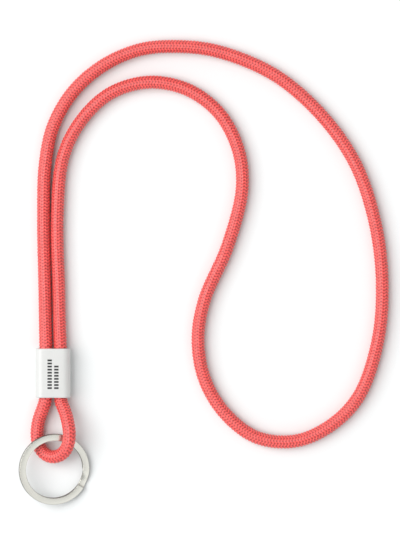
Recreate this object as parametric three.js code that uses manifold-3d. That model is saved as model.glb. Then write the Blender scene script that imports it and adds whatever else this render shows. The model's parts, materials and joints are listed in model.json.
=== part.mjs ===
// A neck lanyard with a key loop. One braided cord makes a long neck loop and a short key
// loop, a two-part plastic sleeve hides the metal band that clamps its four strands, and a
// split ring hangs in the key loop. It lies flat on a surface at z = 0.
// Millimetres, +Z up. The origin is the centre of the sleeve's flat back.
// +Y runs along the sleeve towards the neck loop, and +X to the right seen from above.

import * as THREE from "three";
import { mergeVertices } from "three/addons/utils/BufferGeometryUtils.js";
import Module from "manifold-3d";

const wasm = await Module();
wasm.setup();

// ---------- Driving dimensions ----------

const GAP = 0.3; // between pieces that touch on the real object

const CORD_RADIUS = 3.0; // 6 mm braided cord
const CORD_SIDES = 12;
const NECK_STEPS = 62; // a step every two cord diameters
const KEY_LOOP_STEPS = 12;
const FLEX_STEPS = 2;

const SLEEVE_WIDTH = 15.6;
const SLEEVE_LENGTH = 22.1;
const SLEEVE_THICKNESS = 9.4;
const SLEEVE_CORNER = 3.2;
const SLEEVE_RIM = 0.35; // rounding of the sleeve's two mouths
const MOUTH_WIDTH = 13.1;
const MOUTH_HEIGHT = 6.6;
const CAVITY_WIDTH = 14.0; // wider chamber behind the lips of both mouths
const CAVITY_HEIGHT = 7.5;
const LIP_DEPTH = 1.6;

const LANE_OFFSET = 3.25; // the two strands lie side by side in the sleeve
const SQUEEZED_RADIUS = 2.7; // the cord where the band clamps it
const BAND_LENGTH = 10.0;
const BAND_WALL = 0.45;
const BAND_INNER_WIDTH = 12.5;
const BAND_INNER_HEIGHT = 6.0;
const BAND_SLIT = 0.6; // where the folded strip's edges face each other
const TAIL_GAP = 1.2; // between the cord's two cut ends

const RING_OUTER_RADIUS = 16.0;
const RING_WIRE_WIDTH = 3.0; // flattened wire, two turns on top of each other
const RING_WIRE_THICKNESS = 1.0;
const RING_TURN_GAP = 0.08;
const RING_JOG_MIDDLE = -16; // degrees, where the wire climbs from one turn to the other
const RING_JOG_SPAN = 27;
const RING_END_CLEARANCE = 1.5; // degrees between the jog and either end of the wire
const RING_STEPS = 120;
const RING_CENTRE = new THREE.Vector2(0.5, -43.3);
const RING_SLOPE = new THREE.Vector2(-0.24, 0.09); // rise of its plane along X and along Y

const MID_HEIGHT = SLEEVE_THICKNESS / 2;
const MOUTH = SLEEVE_LENGTH / 2;

// ---------- The cord's route ----------
// Centreline of the neck loop, from the sleeve's upper mouth clockwise back to it.

const NECK_ROUTE = [
  [-3.25, 11.6, 4.7], [-3.5, 20, 3.5], [-3.8, 37.3, 3], [-4.4, 69.3, 3], [-3.7, 93.6, 3],
  [0, 111.2, 3], [9, 126.7, 3], [22.6, 138.5, 3], [39.1, 145.6, 3], [57, 147, 3],
  [74.9, 144.6, 3], [99.7, 134.2, 3], [120.2, 116.7, 3], [135.8, 94.7, 3], [144.6, 69.2, 3],
  [148.1, 42.5, 3], [146.4, 15.5, 3], [137.9, -10, 3], [125.8, -23.1, 3], [109.6, -30.6, 3],
  [91.8, -29.1, 3], [77.4, -18.3, 3], [68.2, -2.9, 3], [65.2, 14.8, 3], [68, 32.5, 3],
  [78.6, 57.3, 3], [85.1, 83.5, 3], [83.1, 101.2, 3], [74.6, 117.1, 3], [60.2, 127.7, 3],
  [42.6, 130.9, 3], [25.5, 125.8, 3], [12.5, 113.5, 3], [4.5, 97.4, 3], [1.8, 71.3, 3],
  [2.5, 37.3, 3], [2.9, 20, 3.5], [3.25, 11.6, 4.7],
];

// Centreline of the key loop, from the lower mouth's left strand to its right one. It passes
// under the split ring on the left, comes up through it and passes over it on the right.
const KEY_LOOP_ROUTE = [
  [-3.45, -11.9, 4.7], [-3.8, -13.6, 4.55], [-5, -17, 3.95], [-6.3, -20.6, 3.3],
  [-7.1, -24.4, 3], [-7.3, -28.2, 3], [-6.7, -32, 3], [-5, -35.2, 3.3],
  [-2.4, -37.2, 4.2], [0.7, -37.6, 5.6], [3.7, -36.5, 7.1], [6, -34, 8.5],
  [7.3, -30.4, 9.4], [7.5, -26.6, 9.3], [6.9, -22.6, 8.2], [5.8, -18.4, 6.6],
  [4.5, -15.2, 5.4], [3.8, -13.5, 4.9], [3.45, -11.9, 4.7],
];
const FLEX_SHARE = 0.1; // of the key loop's length at each end, where it bends at the mouth

// ---------- Materials ----------

const cordYarn = new THREE.MeshStandardMaterial({ color: 0xf25f5c, roughness: 0.85, metalness: 0 });
const whitePlastic = new THREE.MeshStandardMaterial({ color: 0xeeeeec, roughness: 0.35, metalness: 0 });
const platedSteel = new THREE.MeshStandardMaterial({ color: 0xd6d5cc, roughness: 0.2, metalness: 1 });
const bandSteel = new THREE.MeshStandardMaterial({ color: 0xb4b4b4, roughness: 0.4, metalness: 1 });

// ---------- Helpers ----------

function named(name, geometry, material) {
  const mesh = new THREE.Mesh(geometry, material);
  mesh.name = name;
  return mesh;
}

function solidOf(geometry) {
  const bare = geometry.clone();
  bare.deleteAttribute("normal");
  bare.deleteAttribute("uv");
  const merged = mergeVertices(bare, 1e-4);
  return new wasm.Manifold(
    new wasm.Mesh({
      numProp: 3,
      vertProperties: merged.attributes.position.array,
      triVerts: new Uint32Array(merged.index.array),
    }),
  );
}

function geometryOf(solid) {
  const mesh = solid.getMesh();
  const geometry = new THREE.BufferGeometry();
  geometry.setAttribute("position", new THREE.BufferAttribute(mesh.vertProperties, 3));
  geometry.setIndex(new THREE.BufferAttribute(mesh.triVerts, 1));
  geometry.computeVertexNormals();
  return geometry;
}

// A rectangle with round corners, centred on the origin.
function roundedRectangle(width, height, corner) {
  const x = width / 2;
  const y = height / 2;
  const shape = new THREE.Shape();
  shape.moveTo(-x + corner, -y);
  shape.lineTo(x - corner, -y);
  shape.absarc(x - corner, -y + corner, corner, -Math.PI / 2, 0);
  shape.lineTo(x, y - corner);
  shape.absarc(x - corner, y - corner, corner, 0, Math.PI / 2);
  shape.lineTo(-x + corner, y);
  shape.absarc(-x + corner, y - corner, corner, Math.PI / 2, Math.PI);
  shape.lineTo(-x, -y + corner);
  shape.absarc(-x + corner, -y + corner, corner, Math.PI, 1.5 * Math.PI);
  return shape;
}

// Extrudes a shape along Y, with the middle of its length at y = 0. The shape's own y is z.
function alongY(shape, length, rim = 0) {
  const geometry = new THREE.ExtrudeGeometry(shape, {
    depth: length - 2 * rim,
    curveSegments: 8,
    bevelEnabled: rim > 0,
    bevelThickness: rim,
    bevelSize: rim,
    bevelOffset: -rim,
    bevelSegments: 2,
  });
  geometry.translate(0, 0, rim - length / 2);
  geometry.rotateX(Math.PI / 2);
  return geometry;
}

// The cord's section: a polygon with a flat side down, so that it lies on the surface.
function cordSection() {
  const corner = CORD_RADIUS / Math.cos(Math.PI / CORD_SIDES);
  const points = [];
  for (let i = 0; i < CORD_SIDES; i++) {
    const angle = ((i + 0.5) / CORD_SIDES) * 2 * Math.PI;
    points.push(new THREE.Vector2(corner * Math.cos(angle), corner * Math.sin(angle)));
  }
  return new THREE.Shape(points);
}

function curveThrough(route) {
  const points = route.map(([x, y, z]) => new THREE.Vector3(x, y, z));
  return new THREE.CatmullRomCurve3(points, false, "centripetal");
}

// The stretch of a curve between two shares of its length, as a curve of its own.
function stretchOf(curve, from, to, count) {
  const points = [];
  for (let i = 0; i <= count; i++) {
    points.push(curve.getPointAt(from + ((to - from) * i) / count));
  }
  return new THREE.CatmullRomCurve3(points, false, "centripetal");
}

function cordAlong(curve, steps) {
  return new THREE.ExtrudeGeometry(cordSection(), { steps, extrudePath: curve });
}

// A straight strand along Y from y = low to y = high, slimmer where the band squeezes it.
function squeezedStrand(low, high) {
  const half = BAND_LENGTH / 2;
  const taper = 1.0;
  const radiusAt = (y) =>
    THREE.MathUtils.lerp(
      SQUEEZED_RADIUS,
      CORD_RADIUS,
      THREE.MathUtils.clamp((Math.abs(y) - half - GAP) / taper, 0, 1),
    );
  const bends = [-half - GAP - taper, -half - GAP, half + GAP, half + GAP + taper];
  const levels = [low, ...bends.filter((y) => y > low && y < high), high];
  const profile = [
    new THREE.Vector2(0, low),
    ...levels.map((y) => new THREE.Vector2(radiusAt(y), y)),
    new THREE.Vector2(0, high),
  ];
  return new THREE.LatheGeometry(profile, 20);
}

// ---------- Cord ----------

function neckCord() {
  return named("neck_cord", cordAlong(curveThrough(NECK_ROUTE), NECK_STEPS), cordYarn);
}

function keyLoopPieces() {
  const whole = curveThrough(KEY_LOOP_ROUTE);
  const joint = GAP / whole.getLength();
  const left = stretchOf(whole, 0, FLEX_SHARE - joint, 4);
  const middle = stretchOf(whole, FLEX_SHARE, 1 - FLEX_SHARE, 24);
  const right = stretchOf(whole, 1 - FLEX_SHARE + joint, 1, 4);
  return [
    named("key_loop_flex_left", cordAlong(left, FLEX_STEPS), cordYarn),
    named("key_loop_cord", cordAlong(middle, KEY_LOOP_STEPS), cordYarn),
    named("key_loop_flex_right", cordAlong(right, FLEX_STEPS), cordYarn),
  ];
}

// Inside the sleeve the right strand runs through, and the left lane holds the two cut ends.
function strandsInSleeve() {
  const end = MOUTH - 0.05;
  const through = named("cord_through_sleeve", squeezedStrand(-end, end), cordYarn);
  through.position.x = LANE_OFFSET;
  const upper = named("cord_tail_from_neck", squeezedStrand(TAIL_GAP / 2, end), cordYarn);
  upper.position.x = -LANE_OFFSET;
  const lower = named("cord_tail_from_key_loop", squeezedStrand(-end, -TAIL_GAP / 2), cordYarn);
  lower.position.x = -LANE_OFFSET;
  return [through, upper, lower];
}

// ---------- Band and sleeve ----------

// A steel strip folded round both strands. Its edges leave a slit in the middle of the back.
function crimpBand() {
  const width = BAND_INNER_WIDTH + 2 * BAND_WALL;
  const height = BAND_INNER_HEIGHT + 2 * BAND_WALL;
  const outline = roundedRectangle(width, height, height / 2 - 0.05);
  const bore = roundedRectangle(BAND_INNER_WIDTH, BAND_INNER_HEIGHT, BAND_INNER_HEIGHT / 2 - 0.05);
  const slit = new THREE.BoxGeometry(BAND_SLIT, 2 * BAND_LENGTH, 2 * BAND_WALL);
  slit.translate(0, 0, -BAND_INNER_HEIGHT / 2 - BAND_WALL / 2);
  const band = solidOf(alongY(outline, BAND_LENGTH))
    .subtract(solidOf(alongY(bore, 2 * BAND_LENGTH)))
    .subtract(solidOf(slit));
  return named("crimp_band", geometryOf(band), bandSteel);
}

// The sleeve's two shells meet in a parting plane half-way through its thickness.
function sleeveShells() {
  const body = roundedRectangle(SLEEVE_WIDTH, SLEEVE_THICKNESS, SLEEVE_CORNER);
  const mouth = roundedRectangle(MOUTH_WIDTH, MOUTH_HEIGHT, MOUTH_HEIGHT / 2 - 0.05);
  const cavity = roundedRectangle(CAVITY_WIDTH, CAVITY_HEIGHT, CAVITY_HEIGHT / 2 - 0.05);
  const whole = solidOf(alongY(body, SLEEVE_LENGTH, SLEEVE_RIM))
    .subtract(solidOf(alongY(mouth, 2 * SLEEVE_LENGTH)))
    .subtract(solidOf(alongY(cavity, SLEEVE_LENGTH - 2 * LIP_DEPTH)));
  const half = new THREE.BoxGeometry(2 * SLEEVE_WIDTH, 2 * SLEEVE_LENGTH, SLEEVE_THICKNESS);
  const rise = SLEEVE_THICKNESS / 2 + GAP / 2;
  const front = whole.intersect(solidOf(half.clone().translate(0, 0, rise)));
  const back = whole.intersect(solidOf(half.clone().translate(0, 0, -rise)));
  return [
    named("sleeve_front_shell", geometryOf(front), whitePlastic),
    named("sleeve_back_shell", geometryOf(back), whitePlastic),
  ];
}

// ---------- Split ring ----------

// Bends a straight flat bar into two turns that lie on each other and join in the jog.
function splitRing() {
  const middle = RING_OUTER_RADIUS - RING_WIRE_WIDTH / 2;
  const climb = RING_WIRE_THICKNESS + RING_TURN_GAP;
  const jogStart = RING_JOG_MIDDLE - RING_JOG_SPAN / 2;
  const jogEnd = RING_JOG_MIDDLE + RING_JOG_SPAN / 2;
  const first = jogEnd - 360 + RING_END_CLEARANCE;
  const last = jogStart + 360 - RING_END_CLEARANCE;
  const bar = new THREE.BoxGeometry(RING_WIRE_WIDTH, RING_WIRE_THICKNESS, 1, 1, 1, RING_STEPS);
  const spots = bar.attributes.position;
  for (let i = 0; i < spots.count; i++) {
    const turned = THREE.MathUtils.lerp(first, last, 0.5 - spots.getZ(i));
    const angle = THREE.MathUtils.degToRad(turned);
    const radius = middle + spots.getX(i);
    const lift = climb * (THREE.MathUtils.smoothstep(turned, jogStart, jogEnd) - 0.5);
    spots.setXYZ(
      i,
      radius * Math.cos(angle),
      radius * Math.sin(angle),
      spots.getY(i) + lift,
    );
  }
  bar.deleteAttribute("normal");
  bar.deleteAttribute("uv");
  return named("split_ring", mergeVertices(bar, 1e-4), platedSteel);
}

// The ring leans on the cord it passes over, with its lowest edge on the surface.
function placedRing() {
  const normal = new THREE.Vector3(-RING_SLOPE.x, -RING_SLOPE.y, 1).normalize();
  const thickness = 2 * RING_WIRE_THICKNESS + RING_TURN_GAP;
  const lean = Math.acos(normal.z);
  const height = RING_OUTER_RADIUS * Math.sin(lean) + (thickness / 2) * Math.cos(lean);
  const group = new THREE.Group();
  group.position.set(RING_CENTRE.x, RING_CENTRE.y, height);
  group.quaternion.setFromUnitVectors(new THREE.Vector3(0, 0, 1), normal);
  group.add(splitRing());
  return group;
}

// ---------- Assembly ----------

const sleeve = new THREE.Group();
sleeve.position.z = MID_HEIGHT;
sleeve.add(...sleeveShells(), crimpBand(), ...strandsInSleeve());

const lanyard = new THREE.Group();
lanyard.add(neckCord(), sleeve, ...keyLoopPieces(), placedRing());

export default lanyard;
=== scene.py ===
# %% [markdown]
# # A neck lanyard with a key loop
# The real object is one long braided cord, folded into a neck loop and a small key loop.
# A white moulded sleeve hides the metal band that clamps the cord, and a nickel-plated split
# ring hangs in the key loop. This lesson makes its looks around a finished CAD model, so the
# sizes below are measured on that model or repeat its driving dimensions. The order is
# camera, cord, sleeve, ring, band, and then the studio.

# %% Load the CAD model
import json
import math

import bpy
import numpy as np
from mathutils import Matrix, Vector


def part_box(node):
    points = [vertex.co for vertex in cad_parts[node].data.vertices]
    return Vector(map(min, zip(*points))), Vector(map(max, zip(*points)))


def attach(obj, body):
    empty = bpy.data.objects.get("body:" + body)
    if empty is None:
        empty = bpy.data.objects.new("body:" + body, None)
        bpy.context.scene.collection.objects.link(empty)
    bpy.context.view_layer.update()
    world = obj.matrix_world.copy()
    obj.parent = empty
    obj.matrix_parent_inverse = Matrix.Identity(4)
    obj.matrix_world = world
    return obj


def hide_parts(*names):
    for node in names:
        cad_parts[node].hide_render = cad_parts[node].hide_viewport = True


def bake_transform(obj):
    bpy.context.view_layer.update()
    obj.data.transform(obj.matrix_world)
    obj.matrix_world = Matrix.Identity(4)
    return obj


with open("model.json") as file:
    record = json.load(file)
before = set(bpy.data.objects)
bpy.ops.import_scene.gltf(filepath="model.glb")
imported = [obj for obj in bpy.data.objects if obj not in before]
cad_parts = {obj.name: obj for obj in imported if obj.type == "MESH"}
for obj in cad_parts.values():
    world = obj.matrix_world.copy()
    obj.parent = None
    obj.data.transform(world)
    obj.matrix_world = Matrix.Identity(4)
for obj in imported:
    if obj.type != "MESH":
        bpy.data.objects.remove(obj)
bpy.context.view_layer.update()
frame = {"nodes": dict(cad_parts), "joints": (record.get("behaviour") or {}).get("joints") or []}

# %% [markdown]
# ## Units
# Makers talk in millimetres and Blender works in metres, so one constant turns one into the
# other. The sleeve and the ring are measured from the CAD boxes and from the ring's joint.

# %% Sizes taken from the CAD model
MM = 0.001

front_low, front_high = (np.array(v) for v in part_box("sleeve_front_shell"))
back_low = np.array(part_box("sleeve_back_shell")[0])
SLEEVE_WIDTH = front_high[0] - front_low[0]
SLEEVE_LENGTH = front_high[1] - front_low[1]
SLEEVE_THICKNESS = front_high[2] - back_low[2]
MOUTH = SLEEVE_LENGTH / 2

joints = {joint["name"]: joint for joint in frame["joints"]}
ring_axis = np.array(joints["ring_turn"]["axis"], float)
ring_centre = np.array(joints["ring_turn"]["pos_m"], float)
sleeve_size = np.array([SLEEVE_WIDTH, SLEEVE_LENGTH, SLEEVE_THICKNESS]) / MM
print("sleeve in mm:", np.round(sleeve_size, 1))

# %% [markdown]
# ## Camera
# The lanyard lies on a table and is looked at from straight above through a long lens, which
# keeps edges parallel. The camera comes first, because a loose cord has to stay in its view.

# %% Camera straight above
VIEW_CENTRE = (66.1 * MM, 45.2 * MM)
VIEW_HEIGHT = 245.5 * MM  # of the table that fills the picture from top to bottom
MIDDLE_HEIGHT = 3 * MM  # the lying cord's middle, where the view is exactly VIEW_HEIGHT high
LENS = 200.0
SENSOR = 36.0

camera_data = bpy.data.cameras.new("camera")
camera_data.lens = LENS
camera_data.sensor_width = SENSOR
camera_data.clip_start = 0.05
camera_data.clip_end = 20.0
camera = bpy.data.objects.new("camera", camera_data)
camera.location = (*VIEW_CENTRE, VIEW_HEIGHT * LENS / SENSOR + MIDDLE_HEIGHT)
bpy.context.scene.collection.objects.link(camera)
bpy.context.scene.camera = camera
print("camera is", round(camera.location.z, 3), "m above the table")

# %% [markdown]
# ## The cord's route
# A cord is a fixed length of something flexible, so its line is settled before its surface.
# The route is a short list of given stops, joined by a centripetal Catmull-Rom
# curve, which passes through every stop and never overshoots into a loop. Inside the sleeve
# the cord runs straight in two lanes: the left one holds both cut ends.

# %% Stops of the neck loop and the key loop, in mm
NECK_ROUTE = [
    [-3.25, 11.6, 4.7], [-3.5, 20, 3.5], [-3.8, 37.3, 3], [-4.4, 69.3, 3], [-3.7, 93.6, 3],
    [0, 111.2, 3], [9, 126.7, 3], [22.6, 138.5, 3], [39.1, 145.6, 3], [57, 147, 3],
    [74.9, 144.6, 3], [99.7, 134.2, 3], [120.2, 116.7, 3], [135.8, 94.7, 3], [144.6, 69.2, 3],
    [148.1, 42.5, 3], [146.4, 15.5, 3], [137.9, -10, 3], [125.8, -23.1, 3], [109.6, -30.6, 3],
    [91.8, -29.1, 3], [77.4, -18.3, 3], [68.2, -2.9, 3], [65.2, 14.8, 3], [68, 32.5, 3],
    [78.6, 57.3, 3], [85.1, 83.5, 3], [83.1, 101.2, 3], [74.6, 117.1, 3], [60.2, 127.7, 3],
    [42.6, 130.9, 3], [25.5, 125.8, 3], [12.5, 113.5, 3], [4.5, 97.4, 3], [1.8, 71.3, 3],
    [2.5, 37.3, 3], [2.9, 20, 3.5], [3.25, 11.6, 4.7],
]
KEY_LOOP_ROUTE = [
    [-3.45, -11.9, 4.7], [-3.8, -13.6, 4.55], [-5, -17, 3.95], [-6.3, -20.6, 3.3],
    [-7.1, -24.4, 3], [-7.3, -28.2, 3], [-6.7, -32, 3], [-5, -35.2, 3.3],
    [-2.4, -37.2, 4.2], [0.7, -37.6, 5.6], [3.7, -36.5, 7.1], [6, -34, 8.5],
    [7.3, -30.4, 9.4], [7.5, -26.6, 9.3], [6.9, -22.6, 8.2], [5.8, -18.4, 6.6],
    [4.5, -15.2, 5.4], [3.8, -13.5, 4.9], [3.45, -11.9, 4.7],
]
CORD_DIAMETER = 6.0
LANE = 3.25  # from the sleeve's middle line to each strand
LANE_HEIGHT = 4.7  # of both strands and of the sleeve's middle above the table
LANE_REACH = 10.0  # the strands run straight this far from the sleeve's middle
CUT_END = 0.6  # each cut end stops this far from the sleeve's middle
SPLICE = 8.6  # where the two modelled lengths of cord meet, out of sight in the sleeve
SPLICE_GAP = 0.3


def lane(side, first, last, count=4):
    """Stops of a straight strand in the sleeve, on side -1 or 1, from y = first to y = last."""
    return [[side * LANE, y, LANE_HEIGHT] for y in np.linspace(first, last, count)]


neck_stops = lane(-1, CUT_END, LANE_REACH) + NECK_ROUTE + lane(1, LANE_REACH, -SPLICE)
key_loop_stops = lane(-1, -CUT_END, -LANE_REACH) + KEY_LOOP_ROUTE
key_loop_stops += lane(1, -LANE_REACH, -SPLICE - SPLICE_GAP, 2)
print(len(neck_stops), "stops on the neck loop,", len(key_loop_stops), "on the key loop")


# %% A smooth line through the stops
POINTS_PER_SPAN = 40


def length_along(line):
    """The distance from a line's first point to each of its points."""
    return np.r_[0, np.cumsum(np.linalg.norm(np.diff(line, axis=0), axis=1))]


def read_along(reach, at, vectors):
    """Vectors known at each reach along a line, read off at other places on it."""
    return np.stack([np.interp(at, reach, vectors[:, axis]) for axis in range(3)], axis=1)


def evenly(line, spacing):
    """The same line with its points a fixed spacing apart."""
    reach = length_along(line)
    at = np.linspace(0, reach[-1], int(round(reach[-1] / spacing)) + 1)
    return read_along(reach, at, line)


def smooth_line(stops, spacing):
    """A centripetal Catmull-Rom curve through the stops, sampled evenly."""
    stops = np.array(stops, float)
    guided = np.vstack([2 * stops[0] - stops[1], stops, 2 * stops[-1] - stops[-2]])
    share = np.linspace(0, 1, POINTS_PER_SPAN, endpoint=False)[:, None]
    spans = []
    for before, start, end, after in zip(guided, guided[1:], guided[2:], guided[3:]):
        pairs = ((before, start), (start, end), (end, after))
        gaps = [np.linalg.norm(b - a) ** 0.5 for a, b in pairs]
        pull_in = (start - before) / gaps[0] - (end - before) / (gaps[0] + gaps[1])
        pull_out = (end - start) / gaps[1] - (after - start) / (gaps[1] + gaps[2])
        leave = (pull_in + (end - start) / gaps[1]) * gaps[1]
        arrive = (pull_out + (after - end) / gaps[2]) * gaps[1]
        square = 3 * (end - start) - 2 * leave - arrive
        cube = 2 * (start - end) + leave + arrive
        spans.append(start + leave * share + square * share**2 + cube * share**3)
    return evenly(np.vstack([*spans, stops[-1:]]), spacing)


LINE_SPACING = 0.25
neck_line = smooth_line(neck_stops, LINE_SPACING)
key_loop_line = smooth_line(key_loop_stops, LINE_SPACING)
print("neck loop", round(length_along(neck_line)[-1]), "mm of cord, key loop",
      round(length_along(key_loop_line)[-1]), "mm")

# %% [markdown]
# ## Colours and nodes
# Colours are written as sRGB hex, the way a colour card gives them, and one function turns
# them to the linear values that Blender computes with. One more function adds a shader node,
# fills in its settings and links what is already an output.

# %% Helpers for materials
MATH = "ShaderNodeMath"
FINEST_MARKS = 0.01 * MM  # depth of a mould's texture, of polishing and roll lines and of fibres


def linear(hex_colour):
    """An sRGB hex colour as linear RGBA."""
    parts = [int(hex_colour[i : i + 2], 16) / 255 for i in (1, 3, 5)]
    return (*[v / 12.92 if v <= 0.04045 else ((v + 0.055) / 1.055) ** 2.4 for v in parts], 1.0)


def add(material, kind, settings=(), **sockets):
    """Adds a node. A socket's keyword is its name with _ for spaces, or at0, at1 for its place."""
    tree = material.node_tree
    made = tree.nodes.new(kind)
    for name, value in dict(settings).items():
        setattr(made, name, value)
    for name, value in sockets.items():
        placed = name[:2] == "at" and name[2:].isdigit()
        socket = made.inputs[int(name[2:]) if placed else name.replace("_", " ")]
        if isinstance(value, bpy.types.NodeSocket):
            tree.links.new(value, socket)
        else:
            socket.default_value = value
    return made.outputs


def new_material(name):
    """A material with an empty node tree."""
    material = bpy.data.materials.new(name)
    material.use_nodes = True
    material.node_tree.nodes.clear()
    return material


def finish_material(material, **sockets):
    """Closes the material with a Principled shader."""
    shader = add(material, "ShaderNodeBsdfPrincipled", **sockets)
    add(material, "ShaderNodeOutputMaterial", Surface=shader["BSDF"])
    print("material", material.name, "has", len(material.node_tree.nodes), "nodes")
    return material


# %% [markdown]
# ## Braided polyester
# The cover is a tubular braid. Each of about sixteen bobbins lays a flat bundle of dyed
# polyester filaments, melt-spun and shiny, that shows as a short slanting float and then
# dives under its neighbours, so the surface is columns of floats that slant left and right in
# turn. Here it is drawn coarser than it is, with fourteen columns and longer floats, because
# the real ones are too fine to show from this far. The mesh carries each float as a pad. The
# material adds what is finer: painted shade of deep red in the gaps where the bundles dive,
# filaments along each float, a sheen, and floats that took dye a little differently. It reads a
# UV map that counts columns across and floats along, so the pattern follows the cord round
# every bend.

# %% Material of the braid
FILAMENTS_PER_FLOAT = 6.0  # real ones are 0.02 mm thick; these are coarse enough to show
FILAMENT_HEIGHT = 0.12  # as a share of a gap's depth
GAP_DEPTH = 0.12 * MM
GAP_EDGES = (0.15, 0.85)  # a gap starts and is full at these shares of the way to a float's edge
GAP_IN_COLUMN = 0.4  # how much of a gap is left in the middle of its column
DYE_SPREAD = (0.9, 1.08)  # a float's colour is scaled by something between these
YARN = linear("#FA5B57")
# painted shade: the deep red that the gaps between floats are coloured, where shade falls between
# the bundles
YARN_IN_PAINTED_SHADE = linear("#A00405")


def braided_polyester():
    """Dyed polyester filaments, braided: shiny along each float, with painted shade of deep red
    between floats.
    """
    material = new_material("braided_polyester")
    place = add(material, "ShaderNodeUVMap", {"uv_map": "braid"})
    across = add(material, "ShaderNodeSeparateXYZ", Vector=place["UV"])

    # 0 in the middle of a float or column, 1 at its edge
    edges = []
    for count in (across["X"], across["Y"]):
        part = add(material, MATH, {"operation": "FRACT"}, at0=count)
        offset = add(material, MATH, {"operation": "SUBTRACT"}, at0=part[0], at1=0.5)
        size = add(material, MATH, {"operation": "ABSOLUTE"}, at0=offset[0])
        edges.append(add(material, MATH, {"operation": "MULTIPLY"}, at0=size[0], at1=2.0)[0])
    # the gap between two floats, a dent in the bump and painted shade in the colour, is faint in
    # the middle of the column and full at its sides
    smooth = {"interpolation_type": "SMOOTHSTEP"}
    near_end = add(material, "ShaderNodeMapRange", smooth, Value=edges[0],
                   From_Min=0.0, From_Max=GAP_EDGES[1], To_Min=GAP_IN_COLUMN)
    line = add(material, "ShaderNodeMapRange", smooth, Value=edges[1],
               From_Min=GAP_EDGES[0], From_Max=GAP_EDGES[1])
    gap_depth_and_shade = add(material, MATH, {"operation": "MULTIPLY"}, at0=near_end[0], at1=line[0])

    # each float takes the dye a little differently
    cell = add(material, "ShaderNodeVectorMath", {"operation": "FLOOR"}, at0=place["UV"])
    dye = add(material, "ShaderNodeTexWhiteNoise", {"noise_dimensions": "3D"}, Vector=cell[0])
    tone = add(material, "ShaderNodeMapRange", Value=dye["Value"],
               To_Min=DYE_SPREAD[0], To_Max=DYE_SPREAD[1])
    # painted shade: the gaps between floats are coloured a deep red
    colour = add(material, "ShaderNodeMix", {"data_type": "RGBA"},
                 Factor=gap_depth_and_shade[0], at6=YARN, at7=YARN_IN_PAINTED_SHADE)
    toned = add(material, "ShaderNodeVectorMath", {"operation": "SCALE"},
                at0=colour[2], Scale=tone[0])

    # filaments run along each float, which is across the count of floats
    turns = add(material, MATH, {"operation": "MULTIPLY"},
                at0=across["Y"], at1=2 * math.pi * FILAMENTS_PER_FLOAT)
    wave = add(material, MATH, {"operation": "SINE"}, at0=turns[0])
    fine = add(material, MATH, {"operation": "MULTIPLY"}, at0=wave[0], at1=FILAMENT_HEIGHT)
    height = add(material, MATH, {"operation": "SUBTRACT"}, at0=fine[0], at1=gap_depth_and_shade[0])
    bump = add(material, "ShaderNodeBump", Height=height[0], Strength=0.8, Distance=GAP_DEPTH)
    return finish_material(material, Base_Color=toned[0], Roughness=0.36, Normal=bump[0],
                           IOR=1.6, Specular_IOR_Level=0.6, Sheen_Weight=0.5, Sheen_Roughness=0.4,
                           Sheen_Tint=linear("#FFA8A0"))


yarn_material = braided_polyester()

# %% [markdown]
# ## The braid's surface
# A tube of even quads would need millions of faces to show a float. Instead the grid itself
# is braided: its rows zigzag from column to column at the slant of the floats, so four faces
# across and three along are enough for one float with its own crown and valleys. A frame
# carried along the line without turning keeps the columns straight, as a real braid's are.

# %% Sizes of the braid, in mm
COLUMNS = 14  # a real cover has about 16, which are too fine to show
FLOAT_PITCH = 1.4  # from one float to the next along a column; a real one is about 1 mm
FLOAT_RISE = 0.7  # how far a float climbs along the cord while it crosses its column
ROWS_PER_FLOAT = 3
SPOTS_PER_COLUMN = 4
# depth under the crown, a row for each spot from a groove to the crown and back, and a column
# for the row where the float dives and the two where it shows
FLOAT_DEPTH = np.array([
    [0.46, 0.26, 0.26],
    [0.38, 0.09, 0.09],
    [0.34, 0.0, 0.0],
    [0.38, 0.09, 0.09],
])
UNEVEN = 0.02  # size of each wave by which the floats stray from their depth
UNEVEN_WAVES = ((1.7, 2.3), (0.61, -1.1))  # radians from row to row and from spot to spot
# radians of twist, mm along the cord for one radian of the wave, and where the wave starts
TWIST_WAVES = ((0.25, 41.0, 0.0), (0.2, 97.0, 1.0))
SQUEEZE = 0.3  # the band takes this much off the radius inside the sleeve
BAND_HALF = 5.0
BAND_CLEARANCE = 0.3  # past the band by this much the cord starts to swell, for 1 mm


# %% Frames along a line
def frames_on(line):
    """Unit vectors along the line, to its side and up, turning with it as little as they can."""
    along = np.gradient(line, axis=0)
    along /= np.linalg.norm(along, axis=1)[:, None]
    side = np.empty_like(line)
    side[0] = np.cross(along[0], (0, 0, 1))
    for i in range(1, len(line)):
        kept = side[i - 1] - along[i] * (side[i - 1] @ along[i])
        side[i] = kept / np.linalg.norm(kept)
    return along, side, np.cross(side, along)


def squeezed(line):
    """How much of its radius the cord keeps at each point of the line."""
    in_sleeve = (np.abs(line[:, 0]) < 2 * LANE) & (np.abs(line[:, 1]) < MOUTH / MM)
    past_band = np.clip(np.abs(line[:, 1]) - BAND_HALF - BAND_CLEARANCE, 0, 1)
    return np.where(in_sleeve, 1 - SQUEEZE / (CORD_DIAMETER / 2) * (1 - past_band), 1.0)


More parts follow.
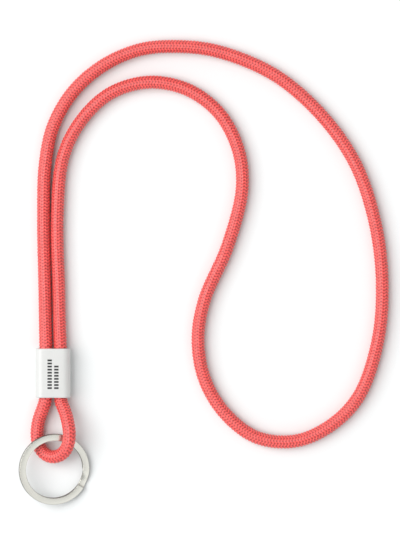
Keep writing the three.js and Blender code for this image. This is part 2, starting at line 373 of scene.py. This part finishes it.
# %% The braided tube
def braided_cord(name, line):
    """A closed tube round the line, in mm, whose grid follows the floats of the braid."""
    reach = length_along(line)
    floats = int(round(reach[-1] / FLOAT_PITCH))
    rows = ROWS_PER_FLOAT * floats + 1
    spots = np.arange(SPOTS_PER_COLUMN * COLUMNS)
    row = np.arange(rows)[:, None]
    zigzag = np.abs((spots / SPOTS_PER_COLUMN) % 2 - 1) * FLOAT_RISE
    pitch = reach[-1] / floats
    at = np.clip(row / ROWS_PER_FLOAT * pitch + zigzag - FLOAT_RISE / 2, 0, reach[-1])
    places = at.ravel()

    depth = FLOAT_DEPTH[spots % SPOTS_PER_COLUMN, row % ROWS_PER_FLOAT]
    strays = sum(UNEVEN * np.sin(row * by_row + spots * by_spot) for by_row, by_spot in UNEVEN_WAVES)
    keeps = np.interp(places, reach, squeezed(line))
    radius = (CORD_DIAMETER / 2 - depth + strays).ravel() * keeps
    twist = sum(size * np.sin(at / length + start) for size, length, start in TWIST_WAVES)
    angle = (spots / len(spots) * 2 * math.pi + twist).ravel()
    _, side, up = frames_on(line)
    to_side = np.cos(angle)[:, None] * read_along(reach, places, side)
    out = to_side + np.sin(angle)[:, None] * read_along(reach, places, up)
    surface = read_along(reach, places, line) + radius[:, None] * out
    points = np.vstack([surface, line[:1], line[-1:]]) * MM

    here = np.arange((rows - 1) * len(spots)).reshape(rows - 1, len(spots))
    there = np.roll(here, -1, axis=1)
    quads = np.stack([here, there, there + len(spots), here + len(spots)], axis=2).reshape(-1, 4)
    start_cap, end_cap = len(points) - 2, len(points) - 1
    last = (rows - 1) * len(spots)
    caps = [(start_cap, (k + 1) % len(spots), k) for k in spots]
    caps += [(end_cap, last + k, last + (k + 1) % len(spots)) for k in spots]

    mesh = bpy.data.meshes.new(name)
    mesh.from_pydata(points.tolist(), [], quads.tolist() + caps)
    mesh.polygons.foreach_set("use_smooth", [True] * len(mesh.polygons))
    low = np.broadcast_to(spots / SPOTS_PER_COLUMN, (rows - 1, len(spots)))
    level = np.broadcast_to(row[:-1] / ROWS_PER_FLOAT, low.shape)
    wide, long = 1 / SPOTS_PER_COLUMN, 1 / ROWS_PER_FLOAT
    corners = [(low, level), (low + wide, level), (low + wide, level + long), (low, level + long)]
    uv = np.stack([np.stack(corner, axis=2) for corner in corners], axis=2).reshape(-1)
    uv = np.r_[uv, np.zeros(2 * 3 * len(caps))]
    mesh.uv_layers.new(name="braid").data.foreach_set("uv", uv)
    mesh.materials.append(yarn_material)
    piece = bpy.data.objects.new(name, mesh)
    bpy.context.scene.collection.objects.link(piece)
    print(name, "has", floats, "floats in each column and", len(mesh.polygons), "faces")
    return piece


neck_loop = braided_cord("neck_loop", neck_line)
key_loop = braided_cord("key_loop", key_loop_line)

# %% [markdown]
# ## What the cord is, and what it moves with
# The neck loop rides on the sleeve's body. The key loop, which bends at the sleeve's lower
# mouth on the real lanyard, keeps the place where it was built, with that place baked into its
# mesh.

# %% Cord facts and bodies
ROOT = "sleeve_and_neck_loop"

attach(neck_loop, ROOT)
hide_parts("neck_cord", "cord_tail_from_neck", "cord_through_sleeve")

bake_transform(key_loop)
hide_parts("key_loop_cord", "key_loop_flex_left", "key_loop_flex_right",
            "cord_tail_from_key_loop")
print("cord in all:", round(length_along(neck_line)[-1] + length_along(key_loop_line)[-1]), "mm")

# %% [markdown]
# ## Sleeve
# The sleeve is moulded in white ABS as two shells that snap together round the band. ABS
# copies the fine spark texture of its mould, so it looks smooth but scatters its highlight.
# The front carries a small pad-printed mark in black ink. Here it is two rows of plain ticks
# that say nothing, placed by distances on the shell.

# %% Material of the sleeve
TICK_ROWS = ((-1.3, 10), (1.7, 8))  # place of each row across the sleeve in mm, and its ticks
TICK_WIDTH = 2.0
TICK_PITCH = 1.38
TICK_SHARE = 0.6  # of the pitch that is ink
ROW_START = -7.05  # lower end of both rows, in mm from the sleeve's middle
ROW_END = 0.1  # a row is cut off this share of a pitch before its next tick would start
INK_EDGE = 0.04 * MM
INK_DEPTH = 0.1 * MM  # ink lies only on what is this near the front face
INK = linear("#17171A")
SPARK_GRAIN = 0.09  # mm between the bumps that the mould's texture leaves
CLOUD_SIZE = 4.0  # mm across the faint clouds in the plastic's white
SATIN = (0.27, 0.37)  # least and most roughness


def moulded_abs(name, with_print):
    """White ABS, satin from a spark-textured mould, with black ink where the mark is."""
    material = new_material(name)
    place = add(material, "ShaderNodeTexCoord")["Object"]
    grain = add(material, "ShaderNodeTexNoise", Vector=place, Scale=1 / (SPARK_GRAIN * MM),
                Detail=2.0, Roughness=0.6)
    cloud = add(material, "ShaderNodeTexNoise", Vector=place, Scale=1 / (CLOUD_SIZE * MM),
                Detail=3.0)
    colour = add(material, "ShaderNodeMix", {"data_type": "RGBA"}, Factor=cloud["Fac"],
                 at6=linear("#C9C9C7"), at7=linear("#CECECC"))[2]
    gloss = add(material, "ShaderNodeMapRange", Value=grain["Fac"],
                To_Min=SATIN[0], To_Max=SATIN[1])[0]
    roughness = gloss
    if with_print:
        ink = inked_rows(material, place)
        colour = add(material, "ShaderNodeMix", {"data_type": "RGBA"}, Factor=ink,
                     at6=colour, at7=INK)[2]
        matt = add(material, "ShaderNodeMapRange", Value=ink, To_Max=0.5)[0]
        roughness = add(material, MATH, {"operation": "MAXIMUM"}, at0=matt, at1=gloss)[0]
    bump = add(material, "ShaderNodeBump", Height=grain["Fac"], Strength=0.25,
               Distance=FINEST_MARKS)
    return finish_material(material, Base_Color=colour, Roughness=roughness, Normal=bump[0],
                           IOR=1.53)


def inked_rows(material, place):
    """1 on the ticks and 0 beside them, with an edge as soft as a pad print's."""
    at = add(material, "ShaderNodeSeparateXYZ", Vector=place)
    half_tick = TICK_WIDTH / 2 * MM
    pitch = TICK_PITCH * MM
    rows = []
    for middle, ticks in TICK_ROWS:
        beside = add(material, MATH, {"operation": "SUBTRACT"}, at0=at["X"], at1=middle * MM)
        far = add(material, MATH, {"operation": "ABSOLUTE"}, at0=beside[0])
        in_row = add(material, "ShaderNodeMapRange", Value=far[0], To_Min=1.0, To_Max=0.0,
                     From_Min=half_tick - INK_EDGE, From_Max=half_tick + INK_EDGE)
        ahead = add(material, MATH, {"operation": "SUBTRACT"}, at0=at["Y"], at1=ROW_START * MM)
        after_start = add(material, MATH, {"operation": "GREATER_THAN"}, at0=ahead[0], at1=0.0)
        before_end = add(material, MATH, {"operation": "LESS_THAN"},
                         at0=ahead[0], at1=(ticks - ROW_END) * pitch)
        count = add(material, MATH, {"operation": "DIVIDE"}, at0=ahead[0], at1=pitch)
        part = add(material, MATH, {"operation": "FRACT"}, at0=count[0])
        in_tick = add(material, MATH, {"operation": "LESS_THAN"}, at0=part[0], at1=TICK_SHARE)
        row = in_row[0]
        for mask in (after_start, before_end, in_tick):
            row = add(material, MATH, {"operation": "MULTIPLY"}, at0=row, at1=mask[0])[0]
        rows.append(row)
    both = add(material, MATH, {"operation": "MAXIMUM"}, at0=rows[0], at1=rows[1])
    on_front = add(material, MATH, {"operation": "GREATER_THAN"},
                   at0=at["Z"], at1=front_high[2] - INK_DEPTH)
    return add(material, MATH, {"operation": "MULTIPLY"}, at0=both[0], at1=on_front[0])[0]


front_material = moulded_abs("moulded_abs_printed", with_print=True)
back_material = moulded_abs("moulded_abs", with_print=False)

# %% [markdown]
# Each shell is half of a rounded tube. Its wall profile, which is a closed outline of how deep
# below the outer face and how far along the sleeve each point is, is swept round half of the
# sleeve's outline. That gives the rounded rims, the lips at both mouths and the wider chamber
# behind them in one clean grid, and the parting line keeps the small chamfer that moulders
# break the edge with.

# %% Shape of the shells, in mm
OUTER_CORNER = 3.2
RIM = 0.45
LIP_WALL = 1.3
CHAMBER_WALL = 0.85
LIP_LENGTH = 1.6
LIP_RAMP = 0.35  # from the lip to the chamber behind it
FLAT_SHARES = (0.6, 0.2)  # two more points on each half of the flat face
RIM_STEPS = 7
CORNER_STEPS = 13
CREASE = 35  # degrees that an edge turns by before it looks sharp
PARTING_CHAMFER = 0.12
PARTING_GAP = 0.03  # half of the hairline between the shells


def wall_profile():
    """Closed list of (depth below the outer face, place along the sleeve)."""
    half = MOUTH / MM
    arc = np.linspace(0, math.pi / 2, RIM_STEPS)
    outer_rim = [(RIM - RIM * math.cos(a), half - RIM + RIM * math.sin(a)) for a in arc]
    small = RIM / 2
    lip_rim = [(LIP_WALL - small + small * math.sin(a), half - small + small * math.cos(a))
               for a in arc[::2]]
    lip = [(LIP_WALL, half - LIP_LENGTH), (CHAMBER_WALL, half - LIP_LENGTH - LIP_RAMP)]
    upper = outer_rim + lip_rim + lip
    lower = [(depth, -y) for depth, y in reversed(upper)]
    outside = [(0.0, y) for y in np.linspace(-half + RIM, half - RIM, 12)[1:-1]]
    return upper + lower + outside


def half_outline(depth, side):
    """Half of the sleeve's rounded outline, this deep below its face: (x, z) from the middle."""
    wide = SLEEVE_WIDTH / MM / 2 - depth
    tall = SLEEVE_THICKNESS / MM / 2 - depth
    corner = OUTER_CORNER - depth
    chamfer = max(0.0, PARTING_CHAMFER - depth)
    points = [(wide - chamfer, PARTING_GAP), (wide, PARTING_GAP + PARTING_CHAMFER)]
    for a in np.linspace(0, math.pi / 2, CORNER_STEPS):
        points.append((wide - corner + corner * math.cos(a), tall - corner + corner * math.sin(a)))
    points += [(share * (wide - corner), tall) for share in FLAT_SHARES]
    points += [(-x, z) for x, z in reversed(points)]
    return [(x, side * z) for x, z in points]


def add_piece(name, points, faces, material, smooth=True):
    """A mesh object in the collection, from points in metres."""
    mesh = bpy.data.meshes.new(name)
    mesh.from_pydata([tuple(p) for p in points], [], faces)
    mesh.polygons.foreach_set("use_smooth", [smooth] * len(mesh.polygons))
    mesh.materials.append(material)
    mesh.validate()
    piece = bpy.data.objects.new(name, mesh)
    bpy.context.scene.collection.objects.link(piece)
    return piece


def sleeve_shell(name, side, material):
    """One shell: side is 1 for the front and -1 for the back."""
    profile = wall_profile()
    outlines = [half_outline(depth, side) for depth, _ in profile]
    across = len(outlines[0])
    points = []
    for (depth, y), outline in zip(profile, outlines):
        points += [(x, y, z + LANE_HEIGHT) for x, z in outline]
    faces = []
    for i in range(len(profile)):
        j = (i + 1) % len(profile)
        for k in range(across - 1):
            face = (i * across + k, i * across + k + 1, j * across + k + 1, j * across + k)
            faces.append(face if side > 0 else face[::-1])
    first = [i * across for i in range(len(profile))]
    last = [i * across + across - 1 for i in range(len(profile))]
    faces += [first if side > 0 else first[::-1], last[::-1] if side > 0 else last]
    piece = add_piece(name, np.array(points) * MM, faces, material)
    sharpen(piece, CREASE)
    print(name, "has", len(faces), "faces")
    return piece


def sharpen(piece, degrees):
    """Keeps edges that turn by more than this crisp, as Shade Auto Smooth does."""
    mesh = piece.data
    mesh.update()
    normals = [polygon.normal.copy() for polygon in mesh.polygons]
    sides = {}
    for polygon in mesh.polygons:
        for key in polygon.edge_keys:
            sides.setdefault(key, []).append(normals[polygon.index])
    limit = math.cos(math.radians(degrees))
    for edge in mesh.edges:
        pair = sides.get(tuple(sorted(edge.vertices)), [])
        edge.use_edge_sharp = len(pair) == 2 and pair[0].dot(pair[1]) < limit


front_shell = sleeve_shell("front_shell", 1, front_material)
back_shell = sleeve_shell("back_shell", -1, back_material)
for shell, node in ((front_shell, "sleeve_front_shell"), (back_shell, "sleeve_back_shell")):
    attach(shell, ROOT)
    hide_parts(node)

# %% [markdown]
# ## Split ring
# A split ring is coiled from one flat steel wire in two turns that spring together, with a
# jog where the wire steps from one turn to the next. It is tumbled smooth and then barrel
# plated with nickel, which is a warmer and darker grey than chrome. The broad faces end up
# bright with fine lines along the wire. The narrow edges are rougher, and their dark grey is
# painted shade that stands in for the dark surroundings they would mirror.

# %% Sizes of the ring, in mm
RING_RADIUS = 16.0
WIRE_WIDTH = 3.0
WIRE_THICKNESS = 1.0
WIRE_EDGE = 0.22  # rounding of the wire's four edges
TURN_GAP = 0.08
JOG_MIDDLE = -16.0  # degrees, like the next two
JOG_SPAN = 27.0
END_CLEARANCE = 1.5  # between each cut end and the jog
WIRE_STEPS = 420
END_STEPS = 2  # the cut ends are rounded over this many steps
EDGE_STEPS = 5

# %% Material of the ring
SCRATCH_WIDTH = 0.12  # coarser than real polishing lines so that they show
SCRATCH_LENGTH = 9.0
FOG_SCALE = 0.35  # of the faint unevenness that a plating bath leaves
POLISH = (0.17, 0.27)  # least and most roughness of the faces
WALL_DULLNESS = 0.2  # what the narrow walls add to the roughness
WALL_FADE = (0.3, 0.6)  # mm from a wall's middle: all wall up to the first, all face past the second
# both are measured round the section: half of the way round, and to its first wall's middle
HALF_ROUND = WIRE_WIDTH + WIRE_THICKNESS - (4 - math.pi) * WIRE_EDGE
WALL_MIDDLE = WIRE_THICKNESS / 2 - (1 - math.pi / 2) * WIRE_EDGE


def nickel_plated_steel():
    """Spring steel, tumbled smooth and barrel plated with nickel, rougher on its narrow walls, which
    carry painted shade.
    """
    material = new_material("nickel_plated_steel")
    place = add(material, "ShaderNodeUVMap", {"uv_map": "wire"})
    stretch = add(material, "ShaderNodeVectorMath", {"operation": "MULTIPLY"}, at0=place["UV"],
                  at1=(1 / SCRATCH_LENGTH, 1 / SCRATCH_WIDTH, 1.0))
    scratch = add(material, "ShaderNodeTexNoise", Vector=stretch[0], Scale=1.0, Detail=4.0,
                  Roughness=0.65)
    # the narrow walls keep the rougher skin of the rolled strip, and their dark grey is painted
    # shade for the dark surroundings they would mirror
    across = add(material, "ShaderNodeSeparateXYZ", Vector=place["UV"])
    beside = add(material, MATH, {"operation": "SUBTRACT"}, at0=across["Y"], at1=WALL_MIDDLE)
    off_wall = add(material, MATH, {"operation": "PINGPONG"}, at0=beside[0], at1=HALF_ROUND / 2)
    wall_dull_and_shaded = add(material, "ShaderNodeMapRange", {"interpolation_type": "SMOOTHSTEP"},
               Value=off_wall[0], From_Min=WALL_FADE[0], From_Max=WALL_FADE[1],
               To_Min=1.0, To_Max=0.0)
    fog = add(material, "ShaderNodeTexNoise", Vector=place["UV"], Scale=FOG_SCALE, Detail=3.0)
    tone = add(material, "ShaderNodeMix", {"data_type": "RGBA"}, Factor=fog["Fac"],
               at6=linear("#D1D0C8"), at7=linear("#DAD9D1"))
    # painted shade: the narrow walls are coloured a dark grey that stands in for the dark
    # surroundings they would mirror
    colour = add(material, "ShaderNodeMix", {"data_type": "RGBA"}, Factor=wall_dull_and_shaded[0],
                 at6=tone[2], at7=linear("#615E58"))
    gloss = add(material, "ShaderNodeMapRange", Value=scratch["Fac"], From_Min=0.3, From_Max=0.7,
                To_Min=POLISH[0], To_Max=POLISH[1])
    dulled = add(material, MATH, {"operation": "MULTIPLY_ADD"},
                 at0=wall_dull_and_shaded[0], at1=WALL_DULLNESS, at2=gloss[0])
    bump = add(material, "ShaderNodeBump", Height=scratch["Fac"], Strength=0.25,
               Distance=FINEST_MARKS)
    return finish_material(material, Base_Color=colour[2], Metallic=1.0,
                           Roughness=dulled[0], Normal=bump[0])


ring_material = nickel_plated_steel()

# %% [markdown]
# The wire's section is a rectangle with rounded edges. It is swept along the two turns row by
# row, because a bevelled curve would twist the section as it climbs. The finished ring is then
# tipped onto the joint's own axis, so that it turns exactly where the CAD says.

# %% Shape of the ring
def wire_section():
    """The wire's rounded section as (across, up) points, anticlockwise."""
    wide, tall = WIRE_WIDTH / 2 - WIRE_EDGE, WIRE_THICKNESS / 2 - WIRE_EDGE
    points = []
    for corner, (x, z) in enumerate(((wide, -tall), (wide, tall), (-wide, tall), (-wide, -tall))):
        for a in np.linspace(0, math.pi / 2, EDGE_STEPS):
            turn = a + (corner - 1) * math.pi / 2
            points.append((x + WIRE_EDGE * math.cos(turn), z + WIRE_EDGE * math.sin(turn)))
    return np.array(points)


def two_turns(name):
    """The wire bent into two turns in the ring's own axes."""
    section = wire_section()
    count = len(section)
    jog = np.radians((JOG_MIDDLE - JOG_SPAN / 2, JOG_MIDDLE + JOG_SPAN / 2))
    clear = math.radians(END_CLEARANCE)
    angles = np.linspace(jog[1] - 2 * math.pi + clear, jog[0] + 2 * math.pi - clear, WIRE_STEPS)
    share = np.clip((angles - jog[0]) / (jog[1] - jog[0]), 0, 1)
    lift = (WIRE_THICKNESS + TURN_GAP) * (share * share * (3 - 2 * share) - 0.5)
    middle = RING_RADIUS - WIRE_WIDTH / 2

    # the cut ends are rounded: the section shrinks over the last steps
    near_end = np.minimum(np.arange(WIRE_STEPS), np.arange(WIRE_STEPS)[::-1])
    rows = []
    for angle, rise, steps in zip(angles, lift, near_end):
        shrink = WIRE_EDGE * (1 - math.sqrt(1 - max(0.0, 1 - steps / END_STEPS) ** 2))
        small = section - np.sign(section) * shrink
        radius = middle + small[:, 0]
        x, y = radius * math.cos(angle), radius * math.sin(angle)
        rows.append(np.stack([x, y, small[:, 1] + rise], axis=1))
    points = np.vstack(rows)
    faces = []
    for i in range(WIRE_STEPS - 1):
        for k in range(count):
            n = (k + 1) % count
            faces.append((i * count + k, i * count + n, (i + 1) * count + n, (i + 1) * count + k))
    last = (WIRE_STEPS - 1) * count
    faces += [list(range(count))[::-1], [last + k for k in range(count)]]

    normal = ring_axis / np.linalg.norm(ring_axis)
    spin = np.cross((0, 0, 1), normal)
    cross = np.array([[0, -spin[2], spin[1]], [spin[2], 0, -spin[0]], [-spin[1], spin[0], 0]])
    turn = np.eye(3) + cross + cross @ cross / (1 + normal[2])
    piece = add_piece(name, points @ turn.T * MM + ring_centre, faces, ring_material)

    around = np.r_[0, np.cumsum(np.linalg.norm(np.diff(section, axis=0), axis=1))]
    closing = around[-1] + np.linalg.norm(section[0] - section[-1])
    uv = []
    for i in range(WIRE_STEPS - 1):
        here, there = middle * angles[i], middle * angles[i + 1]
        for k in range(count):
            end = around[k + 1] if k + 1 < count else closing
            uv += [here, around[k], here, end, there, end, there, around[k]]
    uv += [0.0] * (4 * count)
    piece.data.uv_layers.new(name="wire").data.foreach_set("uv", uv)
    print(name, "has", len(faces), "faces")
    return piece


split_ring = two_turns("two_turn_ring")
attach(split_ring, "ring")
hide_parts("split_ring")

# %% [markdown]
# ## Crimp band
# The band is a strip of mild steel folded round both strands and pressed shut. It stays in
# the sleeve, so the CAD solid is kept and only gets the look of cold-rolled sheet: a plain
# grey with fine lines from the rolls.

# %% Material of the band
ROLL_LINE = 0.08  # mm between the lines that the rolls leave
ROLL_LENGTH = 3.0  # mm along one line before it fades


def cold_rolled_steel():
    """Mild steel strip as it leaves the cold rolls, unpainted."""
    material = new_material("cold_rolled_steel")
    place = add(material, "ShaderNodeTexCoord")["Object"]
    stretch = add(material, "ShaderNodeVectorMath", {"operation": "MULTIPLY"}, at0=place,
                  at1=(1 / (ROLL_LENGTH * MM), 1 / (ROLL_LINE * MM), 1 / (ROLL_LENGTH * MM)))
    lines = add(material, "ShaderNodeTexNoise", Vector=stretch[0], Scale=1.0, Detail=3.0)
    tone = add(material, "ShaderNodeMix", {"data_type": "RGBA"}, Factor=lines["Fac"],
               at6=linear("#A3A3A1"), at7=linear("#C0C0BE"))
    gloss = add(material, "ShaderNodeMapRange", Value=lines["Fac"], To_Min=0.3, To_Max=0.5)
    bump = add(material, "ShaderNodeBump", Height=lines["Fac"], Strength=0.3,
               Distance=FINEST_MARKS)
    return finish_material(material, Base_Color=tone[2], Metallic=1.0,
                           Roughness=gloss[0], Normal=bump[0])


band = frame["nodes"]["crimp_band"]
band.data.materials.clear()
band.data.materials.append(cold_rolled_steel())

# %% [markdown]
# ## Studio
# The set is a sheet of matt white card under a white sky and two large soft boxes. The key
# light at the upper left gives the shadow beside the cord its soft edge. The weaker light at
# the lower right is what the flat faces of the ring mirror. The sky is bright near the horizon
# and almost dark overhead, so it lights the sides of the cord and leaves the holes dark.

# %% Floor, sky and soft boxes, in metres and watts
FLOOR_SIZE = 6.0
FLOOR_DROP = 0.1 * MM  # the table lies this far below zero, just under the cord's lowest float
FIBRE_SIZE = 0.5 * MM
SKY_LOW = 0.792
SKY_TOP = 0.048
SKY_FALL = 3.0  # a higher power keeps the sky bright further up
KEY_POWER = 107
KEY_SIZE = 3.0
KEY_FROM = (-1.64, 0.35, 2.49)
FILL_POWER = 10.3
FILL_SIZE = 2.0
FILL_FROM = (1.16, -1.04, 2.4)


def matt_white_card():
    """Uncoated white card: bleached pulp pressed between plain rollers."""
    material = new_material("matt_white_card")
    place = add(material, "ShaderNodeTexCoord")["Object"]
    fibre = add(material, "ShaderNodeTexNoise", Vector=place, Scale=1 / FIBRE_SIZE, Detail=2.0)
    bump = add(material, "ShaderNodeBump", Height=fibre["Fac"], Strength=0.02,
               Distance=FINEST_MARKS)
    return finish_material(material, Base_Color=linear("#E5E7E7"), Roughness=0.9,
                           Specular_IOR_Level=0.1, Normal=bump[0])


half = FLOOR_SIZE / 2
floor_corners = [(half * x, half * y, -FLOOR_DROP) for x, y in ((-1, -1), (1, -1), (1, 1), (-1, 1))]
floor = add_piece("floor", floor_corners, [(0, 1, 2, 3)], matt_white_card(), smooth=False)

world = bpy.data.worlds.new("white_sky")
world.use_nodes = True
world.node_tree.nodes.clear()
direction = add(world, "ShaderNodeTexCoord")["Generated"]
climb = add(world, "ShaderNodeSeparateXYZ", Vector=direction)
height = add(world, MATH, {"operation": "POWER", "use_clamp": True}, at0=climb["Z"], at1=SKY_FALL)
glow = add(world, "ShaderNodeMapRange", Value=height[0], To_Min=SKY_LOW, To_Max=SKY_TOP)
sky = add(world, "ShaderNodeBackground", Color=linear("#FDFFFF"), Strength=glow[0])
add(world, "ShaderNodeOutputWorld", Surface=sky["Background"])
bpy.context.scene.world = world


def soft_box(name, place, size, power):
    """A square area light at a place given from the middle of the view, turned to face it."""
    light = bpy.data.lights.new(name, "AREA")
    light.shape = "SQUARE"
    light.size = size
    light.energy = power
    box = bpy.data.objects.new(name, light)
    box.location = (place[0] + VIEW_CENTRE[0], place[1] + VIEW_CENTRE[1], place[2])
    distance = math.dist(place, (0, 0, 0))
    box.rotation_euler = (math.acos(place[2] / distance), 0, math.atan2(place[0], -place[1]))
    bpy.context.scene.collection.objects.link(box)
    print(name, "is", round(distance, 2), "m away")


soft_box("key_soft_box", KEY_FROM, KEY_SIZE, KEY_POWER)
soft_box("fill_soft_box", FILL_FROM, FILL_SIZE, FILL_POWER)
bpy.context.scene.view_settings.view_transform = "Standard"
bpy.context.scene.view_settings.look = "None"
